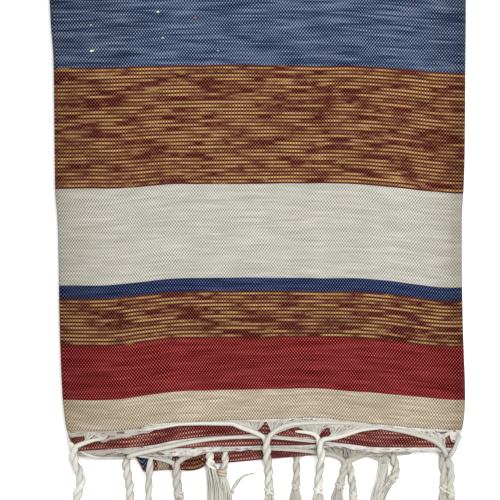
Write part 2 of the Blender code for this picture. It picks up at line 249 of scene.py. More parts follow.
def bendStations(centerX, start, end, steps):  # the bend between two panels, clockwise
    middle, radius = (start["z"] + end["z"]) / 2, abs(start["z"] - end["z"]) / 2
    first = pi / 2 if start["z"] > end["z"] else 3 * pi / 2
    stations = []
    for step in range(1, steps):
        turn = first - pi * step / steps
        stations.append(dict(
            panel=None, x=centerX + radius * cos(turn), z=middle + radius * sin(turn),
            normal=(cos(turn), sin(turn)), share=start["share"],
            beige=mixed(start["beige"], end["beige"], step / steps),
            red=mixed(start["red"], end["red"], step / steps),
            fade={key: mixed(start["fade"][key], end["fade"][key], step / steps) for key in start["fade"]},
        ))
    return stations


def spiralStations():  # the folded section, from the front selvedge round to the rear one
    innerFront = panelStations("innerFront", False)[::-1]
    front = panelStations("front", True)
    rear = panelStations("rear", False)[::-1]
    innerRear = panelStations("innerRear", True)
    steps = towel["bendSteps"]
    path = innerFront + bendStations(leftBendX, innerFront[-1], front[0], steps["tight"]) + front
    path += bendStations(rightBendX, front[-1], rear[0], steps["wide"]) + rear
    path += bendStations(leftBendX, rear[-1], innerRear[0], steps["tight"]) + innerRear
    path[0]["u"] = 0.0
    for before, station in zip(path, path[1:]):
        station["u"] = before["u"] + hypot(station["x"] - before["x"], station["z"] - before["z"])
    return path


stations = spiralStations()


def towelPoint(station, offMiddle, y):  # a point off the doubled sheet's middle line, in metres
    x = fittedX(station["x"] + offMiddle * station["normal"][0], y)
    z = station["z"] + offMiddle * station["normal"][1]
    return (x * mm, y * mm, z * settle(x, y) * mm)


# Meshes.

def newShape():
    return dict(points=[], faces=[], corners=[])


def addFace(shape, corners, values):
    shape["faces"].append(corners)
    shape["corners"].extend(values)


def makePiece(name, shape, material, placeName):  # corner values are kept as an attribute for the pattern
    mesh = bpy.data.meshes.new(name)
    mesh.from_pydata(shape["points"], [], shape["faces"])
    attribute = mesh.attributes.new(placeName, "FLOAT_VECTOR", "CORNER")
    attribute.data.foreach_set("vector", [number for value in shape["corners"] for number in value])
    mesh.shade_smooth()
    mesh.materials.append(material)
    mesh.update()
    piece = bpy.data.objects.new(name, mesh)
    bpy.context.scene.collection.objects.link(piece)
    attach(piece, "root")
    return piece


def addSheet(shape, columns, rows, pointAt, valueAt):  # a closed thin sheet over a grid of places
    # valueAt also gets the column and row of the face, for what changes from one face to the next
    start = len(shape["points"])
    wide, high = len(columns), len(rows)
    for side in (1, -1):
        for row in rows:
            for column in columns:
                shape["points"].append(pointAt(column, row, side))

    def corner(c, r, side):
        return start + (0 if side > 0 else wide * high) + r * wide + c

    def values(places):
        c = min(min(place[0] for place in places), wide - 2)
        r = min(min(place[1] for place in places), high - 2)
        return [valueAt(columns[place[0]], rows[place[1]], columns[c], rows[r]) for place in places]

    for r in range(high - 1):
        for c in range(wide - 1):
            ring = [(c, r), (c + 1, r), (c + 1, r + 1), (c, r + 1)]
            addFace(shape, [corner(*place, 1) for place in ring], values(ring))
            addFace(shape, [corner(*place, -1) for place in ring[::-1]], values(ring[::-1]))
    border = [(c, 0) for c in range(wide)] + [(wide - 1, r) for r in range(1, high)]
    border += [(c, high - 1) for c in range(wide - 2, -1, -1)] + [(0, r) for r in range(high - 2, 0, -1)]
    for a, b in zip(border, border[1:] + border[:1]):
        ring = [corner(*a, -1), corner(*b, -1), corner(*b, 1), corner(*a, 1)]
        addFace(shape, ring, values([a, b, b, a]))


def addTube(shape, points, radii, sides, number, flatten=None, axisZ=None, turns=None,
            shaded=0.75, leastShade=0.0):
    # points in mm as (x, y, z); flatten squeezes a section's height about axisZ; turns says where the
    # other ply lies opposite. Corner values: mm along, share round, number + the painted shade of the
    # spot, which is darkest in the groove towards the other ply, at most "shaded" on the underside and at
    # least the cord's given amount all over.
    start = len(shape["points"])
    count = len(points)
    along, values = 0.0, []
    for i, point in enumerate(points):
        before, after = Vector(points[max(i - 1, 0)]), Vector(points[min(i + 1, count - 1)])
        if i:
            along += (Vector(point) - Vector(points[i - 1])).length
        ahead = (after - before).normalized()
        side = Vector((-ahead.y, ahead.x, 0.0))
        side = side.normalized() if side.length > 1e-6 else Vector((1, 0, 0))
        up = side.cross(ahead)
        up = -up if up.z < 0 else up
        squeeze = flatten[i] if flatten else 1.0
        middle = axisZ[i] if axisZ else point[2]
        for k in range(sides):
            angle = 2 * pi * k / sides
            spot = Vector(point) + radii[i] * (cos(angle) * side + sin(angle) * up)
            spot.z = max(middle + squeeze * (spot.z - middle), 0.0)
            shape["points"].append(tuple(spot * mm))
            # painted shade on the underside, never less than the cord's given amount
            paintedShade = max(leastShade, shaded * (1 - max(0.0, sin(angle))) ** 1.5)
            # painted shade in the groove towards the other ply
            if turns and turns[i] is not None:
                paintedShade = max(paintedShade, (0.5 - 0.5 * cos(angle - turns[i])) ** 2)
            values.append((along, number + 0.98 * paintedShade))

    def value(i, k, around):
        return (values[i * sides + k][0], around, values[i * sides + k][1])

    for i in range(count - 1):
        for k in range(sides):
            a, b, after = start + i * sides + k, start + i * sides + (k + 1) % sides, (k + 1) % sides
            addFace(
                shape, [a, a + sides, b + sides, b],
                [value(i, k, k / sides), value(i + 1, k, k / sides),
                 value(i + 1, after, (k + 1) / sides), value(i, after, (k + 1) / sides)],
            )
    tip = start + (count - 1) * sides
    addFace(shape, [start + k for k in range(sides)], [value(0, k, k / sides) for k in range(sides)])
    addFace(
        shape, [tip + k for k in reversed(range(sides))],
        [value(count - 1, k, k / sides) for k in reversed(range(sides))],
    )


# Woven cotton.

# Hand-loomed cotton in plain weave: soft coloured weft picks over a pale warp. The eye sees bands of
# colour, pricked all over with small light dots, and single picks that are darker or lighter.
weave = dict(
    pickPitch=1.157,      # mm from one weft pick to the next
    endPitch=0.905,       # mm from one warp end to the next
    # Each band starts so many picks above the beige hem and has two sorts of pick. Their colours: painted
    # shade deep between the yarns, on the weft, on the warp's dots.
    bands=[
        dict(pick=0, others=0.58, byTurns=0.0, streaks=0.35,
             usual=("#594D3B", "#867A66", "#ACA293"), other=("#685B48", "#9A8E7A", "#BBB1A2")),
        dict(pick=16, others=0.6, byTurns=0.0, streaks=0.4,
             usual=("#160000", "#4D0202", "#8C4241"), other=("#200000", "#650505", "#994F4F")),
        dict(pick=44, others=0.598, byTurns=0.11, streaks=0.3,
             usual=("#060000", "#300605", "#6E3D34"), other=("#523820", "#846740", "#A0845A")),
        dict(pick=68, others=0.6, byTurns=0.0, streaks=0.4,
             usual=("#000102", "#050E2D", "#4A5773"), other=("#000104", "#0A193C", "#54627E")),
        dict(pick=76, others=0.56, byTurns=0.0, streaks=0.4,
             usual=("#65625B", "#908E84", "#ABA7A0"), other=("#706E66", "#9A9890", "#B4B0A9")),
        dict(pick=125, others=0.598, byTurns=0.11, streaks=0.3,
             usual=("#080000", "#320605", "#724036"), other=("#563B22", "#856740", "#A6895B")),
        dict(pick=189, others=0.6, byTurns=0.0, streaks=0.7,
             usual=("#01020D", "#1D2C47", "#717D8F"), other=("#01010C", "#101C3A", "#56647A")),
    ],
    redEnd=dict(picks=56, others=0.56, byTurns=0.06, streaks=0.5,
                usual=("#120000", "#400606", "#7E4E4A"), other=("#32100C", "#6C2E26", "#B49488")),
    picksInRamp=222,
    redEndInRamp=(0.95, 0.97),   # the bands stay below the first, the red end's step is at the second
    dotSpread=1.1,        # above 1, dots and gaps have flat middles
    streakLength=30.0,
    softness=0.1,         # how gently one sort of pick gives way to the other
    wander=(0.018, 1.3, 0.8),   # how the lattice drifts: waves per mm, mm across, mm along
    rowStep=5.73,         # from one pick to the next in the noises, so that neighbours don't match
    # Painted shade along the folded edges: mm over which it fades, and how much there is.
    clothShade=dict(color="#B9B4AC", share=0.6, left=(22, 1.0), right=(7, 0.9)),
)

# The corner that droops below the stack shows bits of other bands: share from, share to, the place along
# the cloth whose colours it has at its hem, and how much painted shade it takes.
droop = dict(
    reach=10,
    patches=[(0.0, 0.204, 216.9, 0.0), (0.212, 0.24, 3.0, 1.0), (0.287, 0.337, 146.0, 1.0)],
)


def wovenCotton(name, loom):
    material, tree = newMaterial(name)
    add = partial(addNode, tree)
    place = add("Attribute", attribute_name="flat").outputs["Vector"]
    flat = add("SeparateXYZ", [place])
    waves, across, along = loom["wander"]
    wander = add("TexNoise", {"Vector": place, "Scale": waves, "Detail": 2.0}, normalize=False)
    wander = add("SeparateXYZ", [wander.outputs["Color"]])
    u = add("Math", [wander.outputs[0], across, flat.outputs[0]], "MULTIPLY_ADD")
    v = add("Math", [wander.outputs[1], along, flat.outputs[1]], "MULTIPLY_ADD")

    # Warp and weft take turns on top, at every second crossing.
    pick = add("Math", [v, loom["pickPitch"]], "DIVIDE")
    row = add("Math", [pick], "FLOOR")
    pickWave = add("Math", [add("Math", [pick, pi], "MULTIPLY")], "SINE")
    endWave = add("Math", [add("Math", [u, pi / loom["endPitch"]], "MULTIPLY")], "COSINE")
    onTop = add("Math", [pickWave, endWave], "MULTIPLY")   # 1 on a warp end, -1 on a weft pick

    # A yarn's thick and thin places, drawn out along each pick.
    streakPlace = add("CombineXYZ", [
        add("Math", [u, loom["streakLength"]], "DIVIDE"),
        add("Math", [row, loom["rowStep"]], "MULTIPLY"),
    ])
    streak = add("TexNoise", {"Vector": streakPlace, "Scale": 1.0, "Detail": 2.5}, normalize=False)
    chance = add("TexNoise", {"Vector": streakPlace, "Scale": 1.7, "Detail": 3.0})

    # Which band a pick is in: one step of a ramp for each, and the ramp's last one for the red end.
    span, (bandsTo, redFrom) = loom["picksInRamp"], loom["redEndInRamp"]
    redEndFrom = clothLength - loom["redEnd"]["picks"] * loom["pickPitch"]
    inRedEnd = add("Math", [v, redEndFrom], "GREATER_THAN")
    bandPlace = add("Math", [add("Math", [row, 0.5], "ADD"), span], "DIVIDE")
    bandPlace = add("Math", [bandPlace, bandsTo], "MINIMUM")
    bandPlace = add("Math", [bandPlace, inRedEnd], "MAXIMUM")
    starts = [(band["pick"] / span, band) for band in loom["bands"]] + [(redFrom, loom["redEnd"])]
    wanted = {
        (sort, depth): [linearColor(band[sort][depth]) for start, band in starts]
        for sort in ("usual", "other") for depth in range(3)
    }
    wanted["habits"] = [(band["others"], band["byTurns"], band["streaks"], 1.0) for start, band in starts]
    looks = {}
    for key, colors in wanted.items():
        looks[key] = add("ValToRGB", [bandPlace])
        ramp = looks[key].color_ramp
        ramp.interpolation = "CONSTANT"
        ramp.elements.remove(ramp.elements[1])
        ramp.elements[0].position, ramp.elements[0].color = 0.0, colors[0]
        for (start, band), color in zip(starts[1:], colors[1:]):
            ramp.elements.new(start).color = color
    others, byTurns, streaks = add("SeparateColor", [looks["habits"]]).outputs

    turn = add("Math", [add("Math", [row, 2.0], "MODULO"), 2.0, -1.0], "MULTIPLY_ADD")
    chance = add("Math", [turn, byTurns, chance], "MULTIPLY_ADD")
    otherShare = add("MapRange", [
        add("Math", [chance, others], "SUBTRACT"), -loom["softness"], loom["softness"], 0.0, 1.0,
    ])
    shade, weft, dots = (
        add("Mix", [otherShare, looks["usual", depth], looks["other", depth]], data_type="RGBA")
        for depth in range(3)
    )
    streaky = add("Math", [streak, streaks], "MULTIPLY")
    light = add("Math", [onTop, loom["dotSpread"], streaky], "MULTIPLY_ADD")
    body = add("Mix", [add("Math", [light, 1.0], "ADD"), shade, weft], data_type="RGBA")
    color = add("Mix", [light, body, dots], data_type="RGBA")
    # painted shade near the folds and on the drooping corner, multiplied into the weave's colour
    clothShade = loom["clothShade"]
    clothShadeShare = add("Math", [flat.outputs[2], clothShade["share"]], "MULTIPLY")
    clothShadeColor = linearColor(clothShade["color"])
    color = add("Mix", [clothShadeShare, color, clothShadeColor], data_type="RGBA", blend_type="MULTIPLY")

    height = add("Math", [onTop], "ABSOLUTE")
    bump = add("Bump", {"Strength": 0.4, "Distance": 0.00025, "Height": height})
    shader = add("BsdfPrincipled", {
        "Base Color": color, "Roughness": 0.95, "IOR": 1.46, "Specular IOR Level": 0.05, "Normal": bump,
        "Sheen Weight": 0.01, "Sheen Roughness": 0.5,
    })
    add("OutputMaterial", [shader])
    return material


def clothPoint(station, row, side):
    end, away, turn = row
    reach = halfPair + side * towel["clothThickness"] / 2
    y = endFoldY if end == "fold" else hemY + away - dropAway(station, end, away)
    return towelPoint(station, reach * cos(turn), y + reach * sin(turn))


def clothValue(station, row, faceStation, faceRow):
    # Flat place in mm, across from the front selvedge and along from the beige hem; how much painted shade
    # it takes near a fold or on the drooping corner.
    end, away, turn = row
    (leftFade, leftShare), (rightFade, rightShare) = weave["clothShade"]["left"], weave["clothShade"]["right"]
    clothShadeAmount = leftShare * exp(-max(0.0, station["x"] - leftBendX) / leftFade)
    clothShadeAmount += rightShare * exp(-max(0.0, rightBendX - station["x"]) / rightFade)
    along = {"beige": away, "red": clothLength - away, "fold": straightLength + halfPair * turn}[end]
    if faceStation["panel"] == "innerRear" and faceRow[0] == "red" and faceRow[1] <= droop["reach"]:
        for first, last, hemPlace, clothShade in droop["patches"]:
            if first <= faceStation["share"] < last:
                along, clothShadeAmount = hemPlace + away, clothShade
    return (station["u"], along, min(clothShadeAmount, 1.0))


def clothRows():
    places = {}
    for end, runs in towel["rowRuns"].items():
        spaced = list(towel["nearHem"])
        for start, step, count in runs:
            spaced += [start + step * i for i in range(1, count + 1)]
        places[end] = [away for away in spaced if away < straightLength - towel["foldMargin"]]
    count = towel["endFoldSteps"]
    rows = [("beige", away, 0.0) for away in places["beige"]]
    rows += [("fold", 0.0, pi * step / count) for step in range(count + 1)]
    rows += [("red", away, pi) for away in reversed(places["red"])]
    return rows


cottonCloth = wovenCotton("plainWovenCottonBands", weave)
clothShape = newShape()
addSheet(clothShape, stations, clothRows(), clothPoint, clothValue)
towelCloth = makePiece("towelCloth", clothShape, cottonCloth, "flat")
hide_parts("cloth")


# Each end's warp hangs out of a narrow white header and is drawn together into two-ply cords. A cord
# has a left and a right leg of gathered yarns; where they meet the twist starts. Paths are (x, below).
fringe = dict(
    headerDepth={         # how deep the open header is: share across the panel, mm
        ("front", "beige"): [(0, 4.3), (0.041, 2.5), (0.056, 4.5), (0.075, 6.5), (0.086, 7.1), (0.1, 6.2),
            (0.12, 5.3), (0.16, 4.4), (0.2, 3.8), (0.24, 3.3), (0.29, 1.6), (0.5, 1.6), (0.545, 2.4),
            (0.57, 5.2), (0.6, 6.4), (0.64, 6.8), (0.66, 6.2), (0.69, 5.4), (0.73, 5), (0.77, 3.6),
            (0.83, 2.4), (0.88, 3), (0.94, 3.4), (0.97, 7), (0.98, 5.4), (0.99, 3.2), (1, 8.6)],
        ("front", "red"): [(0, 3.2), (0.17, 3.8), (0.23, 3.6), (0.27, 3.2), (0.31, 2.6), (0.36, 2.2),
            (0.53, 2.1), (0.62, 1.6), (0.67, 2.4), (0.72, 3.4), (0.9, 2.9), (1, 2.6)],
        ("innerFront", "red"): [(0, 2.6), (0.17, 2.6), (0.2, 4.2), (0.24, 5), (0.31, 5), (0.35, 3.4),
            (0.4, 2.6), (1, 2.6)],
    },
    plainDepth=[(0, 2.6), (1, 2.6)],
    hemsAt=12.0,          # about how far below the middle of the front hem they all lie
    headerHalf=0.45,      # half the thickness of a header, and of gathered yarns
    gatheredHalf=0.85,
    clearance=0.12,
    headerMargin=1.0,     # mm past a header's edge, and past the middle of a leg, that count as covered
    legMargin=1.4,
    descent=dict(route=0.9, leg=0.8),     # mm down for each mm along, at most
    thinnest=dict(route=0.7, leg=0.35),   # half the height of one that the layers squeeze
    thickest=1.7,         # and the most it can be, in quarters of the cord's size
    steps=dict(route=0.8, leg=1.6, fan=0.9, stray=1.5),   # mm between the points of a path
    hole=3.0,             # mm each side of a root without single yarns
    threadPitch=0.62,
    threadRadius=0.25,
    threadReach=(9, 26),  # mm along the leg before a single yarn joins it
    legStart=0.45,        # radius of a leg at its far end
    wholeLeg=1.12,        # and at the root, in quarters of the cord's size
    plyRadius=1.3,        # in quarters too: plies press into each other
    plyOffset=0.64,
    plySides=12,
    looks=400,            # how many tones the strands have
    # The band and how wide it winds are in quarters, "slant" and "reach" in mm. The two ends draw in by
    # "tuck", and the knot's height is at most "roundest" of its width.
    knot=dict(turns=1.75, firstTurn=2.2, steps=30, bandRadius=0.78, windRadius=1.5, slant=0.9, tuck=0.35,
              reach=2.3, roundest=0.85),
    tassel=dict(yarns=46, top=1.5, ragged=7, bow=0.9, sway=(0.1, 0.5), radii=(0.4, 0.26)),
    stray=dict(yarns=9, strewn=(1.7, 1.5, 1.2, 0.8, 0.4), radii=(0.42, 0.16)),
    lump=[(-1.5, 0.4), (-0.8, 1.3), (0.3, 1.2), (1.3, 0.4)],   # mm along a leg, radius
)

# Sizes are in mm and places below the middle of the front hem. "turn" is one turn of the twist, "spread"
# the tassel's width and "loose" how wide it starts. "holes" and "apex" shape the gap over the root, and
# "slanting" counts the yarns that lean over it, left and right. A leg that isn't drawn here follows the
# header's edge for "reach", and comes down by "gather". Some cords are darkened all over with a given
# amount of painted shade.
cordsOfBeigeEnd = [
    dict(  # at the left fold
        panel="front", size=5.9, knot=56, tip=74, spread=8, turn=15.5, holes=(4.6, 8), apex=5.6,
        slanting=(0, 5), leastShade=0.12,
        leftLeg=[(-116.6, 13.2), (-115.2, 14.2), (-113.8, 15.4), (-113, 16.4)],
        rightLeg=[(-96, 12.2), (-98.8, 12.2), (-101.8, 12.8), (-105.2, 13.8), (-108.6, 15.1),
            (-111.2, 16.2)],
        route=[(-112.4, 17.2), (-112.7, 21.5), (-112.4, 25.3), (-110.7, 30.2), (-109.4, 34),
            (-108.9, 38.3), (-109.4, 42), (-110.8, 46.3), (-111.5, 50), (-112, 74)],
    ),
    dict(  # in the middle
        panel="front", size=5.7, knot=44.5, tip=70, spread=10, turn=14.4, holes=(7.4, 3.8), apex=-0.6,
        leftLeg=[(-70, 5.8), (-65.7, 5.5), (-56.5, 4.1), (-47.2, 2.6), (-31.8, 2.1), (-15.7, 2.2),
            (-9.6, 4.5), (-0.3, 7.9), (4.3, 10.4)],
        rightLeg=[(58.9, 2.2), (42.3, 1.6), (33, 1.8), (26.2, 2.2), (20.4, 3), (13, 5.8), (8.6, 9.2)],
        route=[(6.1, 12), (6.3, 15.4), (6.4, 22), (7.4, 28.4), (7.7, 35.8), (8, 42), (8.2, 49.4),
            (8.2, 70)],
    ),
    dict(  # right of the middle
        panel="front", size=5.4, knot=44, tip=68, spread=9, turn=18, holes=(0.3, 8.6), apex=5,
        slanting=(7, 5),
        leftLeg=[(23.8, 7), (31.8, 7.7), (36.7, 9.3), (38, 11.1)],
        rightLeg=[(77.4, 5), (71.3, 5.4), (66, 6), (57.7, 8.3), (53.4, 9.7), (48.4, 10.9), (42, 11.6)],
        route=[(39, 13), (39.2, 15.4), (40.1, 22.2), (39.6, 28.9), (38.8, 36), (38.3, 43), (38.3, 68)],
    ),
    dict(  # at the right fold, the upper one
        panel="front", size=5.2, knot=46, tip=68, spread=7, turn=15, holes=(1.8, 4.4), apex=4.4,
        slanting=(0, 0), starts=(0.45, 1.2), leastShade=0.3,
        leftLeg=[(58.9, 2.6), (66, 3.3), (76.2, 4.7), (89.2, 6.8), (100.3, 9.5), (108.7, 12.3),
            (114.4, 16.4), (117, 20.4)],
        rightLeg=[(126, 9.4), (124.6, 12.2), (123.3, 15.2), (121.8, 18.6), (120, 21.6)],
        route=[(118.3, 22.4), (119.6, 27), (120.7, 30.9), (120.8, 35.2), (120.3, 40.7), (120.8, 46.9),
            (121.4, 68)],
    ),
    dict(  # a short one with a high knot
        panel="innerFront", size=5.6, knot=28, tip=68, spread=10, turn=9, reach=(6, 3.6), gather=2,
        loose=1.7, knotReach=3.8,
        route=[(-29, 19), (-28.8, 24), (-27.8, 31), (-26.2, 38), (-25.2, 44), (-24.8, 68)],
    ),
    dict(  # tied with another yarn, and one yarn astray
        panel="innerFront", size=4.8, knot=33.4, tip=66, spread=11, turn=13, reach=(3.6, 10), gather=3,
        loose=1.5, tied=True,
        route=[(-19.4, 19), (-19.3, 23.4), (-19.9, 29), (-21.4, 33.9), (-20.6, 41.3), (-19.6, 66)],
        stray=[(-15, 45.5), (-13.8, 42.3), (-11.7, 38.9), (-7.7, 35.5), (-1, 33.6)],
    ),
    dict(  # behind, at the drooping corner
        panel="innerRear", size=4.7, knot=57, tip=72, spread=6, turn=22, reach=(12, 12), gather=2,
        leastShade=0.12,
        route=[(-65.4, 21.8), (-65.7, 27), (-66.3, 33), (-66.8, 43.2), (-66.9, 49.4), (-66.6, 72)],
    ),
    dict(  # gathered but not twisted
        panel="rear", size=5.2, knot=26.6, tip=64, spread=8, turn=14, reach=(12, 4), gather=5, loose=1.9,
        holes=(0.5, 0.5), leastShade=0.3, tasselFrom=-3.4,
        leftLeg=[(62, 19.6), (66.5, 21.2), (71, 23.2), (75, 24.8), (77.6, 26)],
        route=[(78.8, 26.4), (78.8, 28), (78.4, 31), (77.8, 36), (76.8, 41), (75.4, 47), (72.6, 64)],
    ),
]

cordsOfRedEnd = [
    dict(  # second from the left
        panel="front", size=5.5, knot=57, tip=73, spread=7, turn=12.5, lumpX=-95.4,
        leftLeg=[(-108.9, 19.4), (-103.5, 21.9), (-96.1, 23.6), (-87.9, 23.8), (-82.6, 23.2)],
        rightLeg=[(36, 13.8), (22, 12.2), (10, 11.1), (-2, 10.6), (-14, 10.8), (-27.5, 11.8),
            (-34.9, 12.8), (-43.3, 14.3), (-56.6, 17.2), (-66.9, 19.4), (-73.7, 21), (-78.3, 22.4)],
        route=[(-80.3, 23.6), (-80.8, 28.4), (-80, 33.3), (-79.4, 37.5), (-78.6, 42), (-78.4, 46),
            (-78.6, 73)],
    ),
    dict(  # over the drooping corner
        panel="innerFront", size=6, knot=46.5, tip=73, spread=9, turn=14, holes=(4.4, 4), apex=0.8,
        leastShade=0.1,
        leftLeg=[(-73.7, 22.4), (-66.6, 23.2), (-60, 24.4), (-55.2, 25.6), (-51.6, 27)],
        rightLeg=[(-12.6, 18.5), (-21.8, 18.9), (-28.7, 19.5), (-34.9, 20.7), (-39.9, 22), (-44.7, 23.8),
            (-48.4, 26.4)],
        route=[(-50, 28), (-49.2, 31), (-49.4, 36.4), (-48.9, 41), (-48.3, 45.6), (-47.8, 50),
            (-47.6, 73)],
    ),
    dict(  # at the right fold, the lower one
        panel="innerFront", size=5, knot=43.2, tip=66, spread=6, turn=20, reach=(8, 3.6), gather=3,
        leastShade=0.24,
        route=[(115.3, 20), (115.6, 28.4), (116.4, 36.4), (116.1, 43.2), (115.9, 66)],
    ),
    dict(  # the left one of a pair
        panel="front", size=5.2, knot=41, tip=64, spread=8, turn=13, leastShade=0.22,
        fanPanels=("innerFront", "front"),
        leftLeg=[(-4, 18), (3, 17.9), (20.7, 18.5), (31.8, 19.4), (40.4, 20.9), (47.2, 22), (51.8, 23.8),
            (53.8, 25.4)],
        rightLeg=[(99.6, 19.4), (86.1, 19.6), (76.6, 20.2), (71.3, 21), (65.1, 22.2), (60.8, 23.4),
            (57, 25.4)],
        route=[(54.9, 26.6), (54.5, 30.9), (53.4, 35.2), (51.8, 40.7), (50.2, 47), (48.5, 64)],
    ),
    dict(  # the right one of the pair
        panel="front", size=5, knot=48, tip=65, spread=7, turn=13,
        leftLeg=[(54.4, 24.8), (55, 25.2), (55.8, 25.8)],
        rightLeg=[(72, 21.6), (67, 22.6), (62.6, 24), (58.6, 25.8)],
        route=[(57, 26.6), (58.3, 30.9), (58.9, 35.2), (59.7, 40.7), (60.2, 46.9), (60.2, 65)],
    ),
    dict(  # behind, on its own
        panel="rear", size=4.8, knot=41, tip=67, spread=9, turn=16, reach=(6, 6), gather=1,
        route=[(25, 23.4), (25, 36), (24.3, 43), (24.3, 49.4), (24.3, 67)],
    ),
    dict(  # beside the untwisted one
        panel="rear", size=5.2, knot=36.5, tip=62, spread=8, turn=12, reach=(4, 12), gather=2,
        route=[(84.2, 22), (85.6, 26), (86.8, 30), (86.2, 33.5), (84.2, 37.4), (80.6, 42.5), (77.2, 48),
            (73.2, 62)],
    ),
]
cords = dict(beige=cordsOfBeigeEnd, red=cordsOfRedEnd)
depthCurve = {
    (panel, end): curveThrough(fringe["headerDepth"].get((panel, end), fringe["plainDepth"]), 1)
    for panel in panelZ for end in cords
}


def layerHeight(panel, end):
    outerSideUp = panel in ("front", "innerRear")
    return panelZ[panel] + (halfPair if (end == "beige") == outerSideUp else -halfPair)


def hemShare(x):  # the share across a panel of a real x, about where the hems lie
    return acrossShare(evenX(x, hemY - fringe["hemsAt"]))


def hemBelow(panel, end, x):  # how far below the front hem a layer's own hem lies at a real x
    return hemCurve[panel, end](hemShare(x))


def headerBelow(panel, end, x):  # and how far its header reaches
    if (panel, end) == ("innerRear", "red"):   # this hem is turned under
        return hemBelow(panel, end, x)
    return hemBelow(panel, end, x) + depthCurve[panel, end](hemShare(x))


def distancesAlong(path):
    marks = [0.0]
    for (x1, b1), (x2, b2) in zip(path, path[1:]):
        marks.append(marks[-1] + hypot(x2 - x1, b2 - b1))
    return marks


def nearestTo(spots, x):  # the number of the spot whose x is nearest
    return min(range(len(spots)), key=lambda k: abs(spots[k][0] - x))


def alongPath(path, step):  # a smooth run of points along a path, about a step apart
    marks = distancesAlong(path)
    rows = [(mark, x, b) for mark, (x, b) in zip(marks, path)]
    xAt, belowAt = curveThrough(rows, 1), curveThrough(rows, 2)
    count = max(2, ceil(marks[-1] / step))
    return [(xAt(marks[-1] * i / count), belowAt(marks[-1] * i / count)) for i in range(count + 1)]


def legOf(cord, end, direction):  # a leg's path from its far end to the root
    own = cord.get("leftLeg" if direction < 0 else "rightLeg")
    if own:
        return own
    rootX, rootBelow = cord["route"][0]
    reach = cord["reach"][0 if direction < 0 else 1]
    path = []
    for share in (0.0, 0.25, 0.5, 0.75, 0.92):
        x = rootX + direction * mixed(reach, 1.0, share)
        edge = headerBelow(cord["panel"], end, x)
        path.append((x, min(edge + 0.4 + cord["gather"] * share ** 1.6, rootBelow - 0.6)))
    path[-1] = (path[-1][0], mixed(path[-1][1], rootBelow, 0.6))
    return path


for end, group in cords.items():
    for cord in group:
        cord["end"] = end
        cord["height"] = layerHeight(cord["panel"], end)
        cord["legs"] = [legOf(cord, end, -1), legOf(cord, end, 1)]


def coveredTo(panel, end, x):  # how far below the front hem a layer with its gathered yarns reaches
    reach = headerBelow(panel, end, x) + fringe["headerMargin"]
    gathered = reach
    for cord in cords[end]:
        if cord["panel"] == panel:
            for leg in cord["legs"]:
                low, high = min(p[0] for p in leg), max(p[0] for p in leg)
                if low - 1 < x < high + 1:
                    gathered = max(gathered, leg[nearestTo(leg, x)][1] + fringe["legMargin"])
    return reach, gathered


tableReach = 132   # mm each side of the middle
coverTable = {
    (panel, end, x): coveredTo(panel, end, x)
    for panel in panelZ for end in cords for x in range(-tableReach, tableReach + 1)
}


def roomAt(cord, x, below, halfWidth):  # floor and ceiling for a yarn between the layers
    lowest, highest = 0.0, 100.0
    for panel in panelZ:
        for end in cords:
            if (panel, end) == (cord["panel"], cord["end"]):
                continue
            height = layerHeight(panel, end)
            for offset in (-halfWidth, 0.0, halfWidth):
                place = min(max(round(x + offset), -tableReach), tableReach)
                plain, gathered = coverTable[panel, end, place]
                if gathered < below - 0.3:   # it ends before this spot
                    continue
                half = fringe["headerHalf"] if plain > below else fringe["gatheredHalf"]
                if height < cord["height"]:
                    lowest = max(lowest, height + half + fringe["clearance"])
                else:
                    highest = min(highest, height - half - fringe["clearance"])
    return lowest, highest


def heldLevel(values, positions, slope):  # raises heights so that they never fall faster than slope
    values = list(values)
    for i in range(1, len(values)):
        values[i] = max(values[i], values[i - 1] - slope * (positions[i] - positions[i - 1]))
    for i in range(len(values) - 2, -1, -1):
        values[i] = max(values[i], values[i + 1] - slope * (positions[i + 1] - positions[i]))
    return values


def softened(values, reach):
    out = []
    for i in range(len(values)):
        near = values[max(0, i - reach):i + reach + 1]
        out.append(sum(near) / len(near))
    return out


# Ring-spun white cotton, two plies laid together by hand: soft and matt, with fine strands that run
# round each ply and painted shade between them. Painted shade also darkens it towards the groove between
# the plies and on its underside.
yarn = dict(
    face="#D2D0C5",
    # the darker colour between the strands: painted shade
    grooveShade="#77736A",
    # held: the colour that painted shade multiplies in, towards the groove between the plies and
    # underneath
    held="#5E564D",
    strandsRound=7,
    strandLay=8.0,       # mm for one turn of the strands round a ply
)


